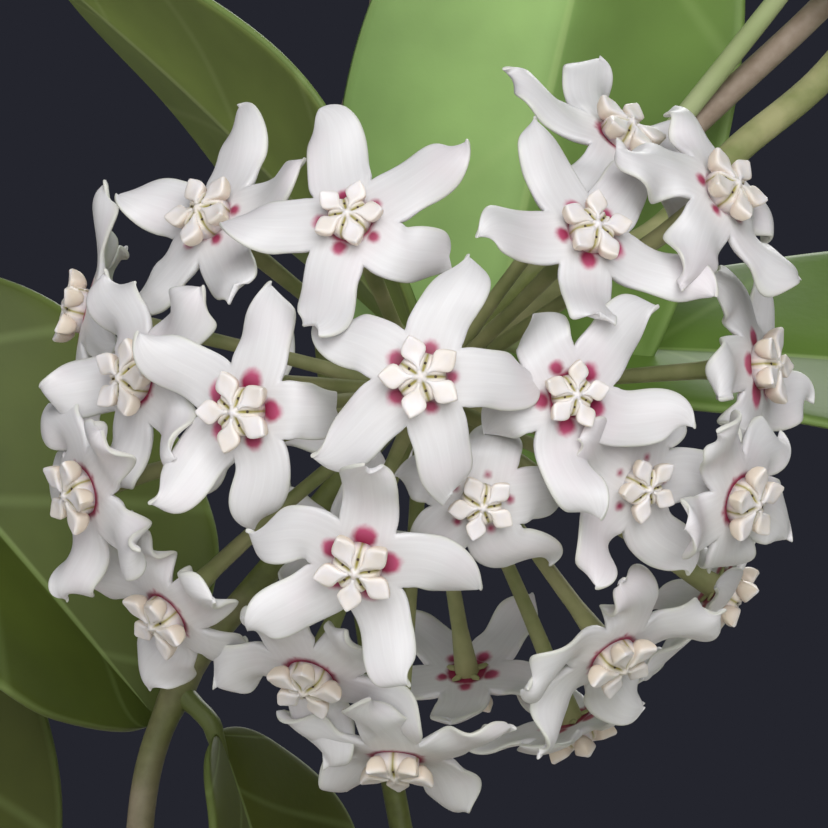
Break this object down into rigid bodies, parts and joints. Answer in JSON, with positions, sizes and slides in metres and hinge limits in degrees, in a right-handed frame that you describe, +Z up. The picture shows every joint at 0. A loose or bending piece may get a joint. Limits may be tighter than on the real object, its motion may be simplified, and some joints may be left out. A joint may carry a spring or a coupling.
{
  "type": "potted hoya plant",
  "caption": "Flowering potted hoya: a round head of waxy white star flowers with cream crowns, thick-leaved green vines and a plain clay pot.",
  "frame": {"origin": "centre of the pot's underside, where it rests", "axes": "+Z up out of the pot, -Y towards the side where the flower head hangs, +X to the right seen from there"},
  "size_m": [0.3425, 0.2703, 0.3285],
  "materials": {
    "clay": "matte",
    "soil": "matte",
    "petal": "satin",
    "crown": "satin",
    "stalk": "satin",
    "leaf": "satin"
  },
  "bodies": {
    "root": {"pot": "clay", "soil": "soil", "umbel_stalks": "stalk", "vine_main": "leaf", "vine_left": "leaf", "vine_right": "leaf", "vine_back": "leaf", "vine_front": "leaf", "corolla_01": "petal", "corona_01": "crown", "corolla_02": "petal", "corona_02": "crown", "corolla_03": "petal", "corona_03": "crown", "corolla_04": "petal", "corona_04": "crown", "corolla_05": "petal", "corona_05": "crown", "corolla_06": "petal", "corona_06": "crown", "corolla_07": "petal", "corona_07": "crown", "corolla_08": "petal", "corona_08": "crown", "corolla_09": "petal", "corona_09": "crown", "corolla_10": "petal", "corona_10": "crown", "corolla_11": "petal", "corona_11": "crown", "corolla_12": "petal", "corona_12": "crown", "corolla_13": "petal", "corona_13": "crown", "corolla_14": "petal", "corona_14": "crown", "corolla_15": "petal", "corona_15": "crown", "corolla_16": "petal", "corona_16": "crown", "corolla_17": "petal", "corona_17": "crown", "corolla_18": "petal", "corona_18": "crown", "corolla_19": "petal", "corona_19": "crown", "corolla_20": "petal", "corona_20": "crown", "corolla_21": "petal", "corona_21": "crown", "corolla_22": "petal", "corona_22": "crown", "corolla_23": "petal", "corona_23": "crown", "corolla_24": "petal", "corona_24": "crown", "corolla_25": "petal", "corona_25": "crown", "corolla_26": "petal", "corona_26": "crown"}
  },
  "joints": []
}
